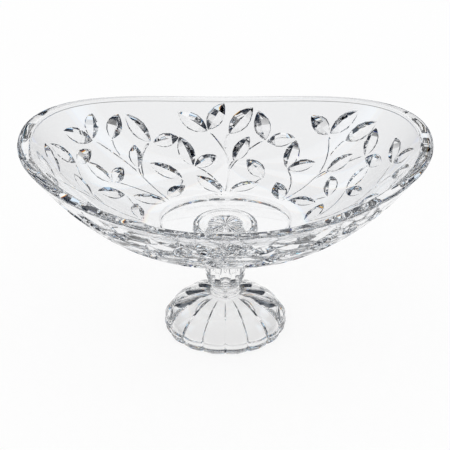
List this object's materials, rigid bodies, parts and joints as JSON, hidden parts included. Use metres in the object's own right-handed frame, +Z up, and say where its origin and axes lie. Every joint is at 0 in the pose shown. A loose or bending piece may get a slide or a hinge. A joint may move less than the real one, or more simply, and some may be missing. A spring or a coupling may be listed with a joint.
{
  "type": "footed fruit bowl",
  "caption": "Oval boat-shaped crystal bowl with raised ends and leaf-cut walls on a short knopped stem and hollow petalled foot; stands on a table and holds fruit.",
  "frame": {"origin": "centre of the foot's contact ring, on the table plane", "axes": "+X along the bowl's length from end to end, +Y across it, +Z up out of the table; the picture looks along +Y and down"},
  "size_m": [0.4, 0.297, 0.211],
  "materials": {
    "bowl_crystal": "clear colourless crystal, fire polished, with bright polished cuts",
    "stem_crystal": "clear colourless crystal, polished",
    "foot_crystal": "clear colourless crystal, pressed and fire polished",
    "bond_film": "clear cured adhesive film"
  },
  "bodies": {
    "root": {"foot": "foot_crystal", "lower_bond_film": "bond_film", "ringed_collar": "stem_crystal", "knop": "stem_crystal", "merese": "stem_crystal", "upper_bond_film": "bond_film", "bowl": "bowl_crystal"}
  },
  "joints": []
}
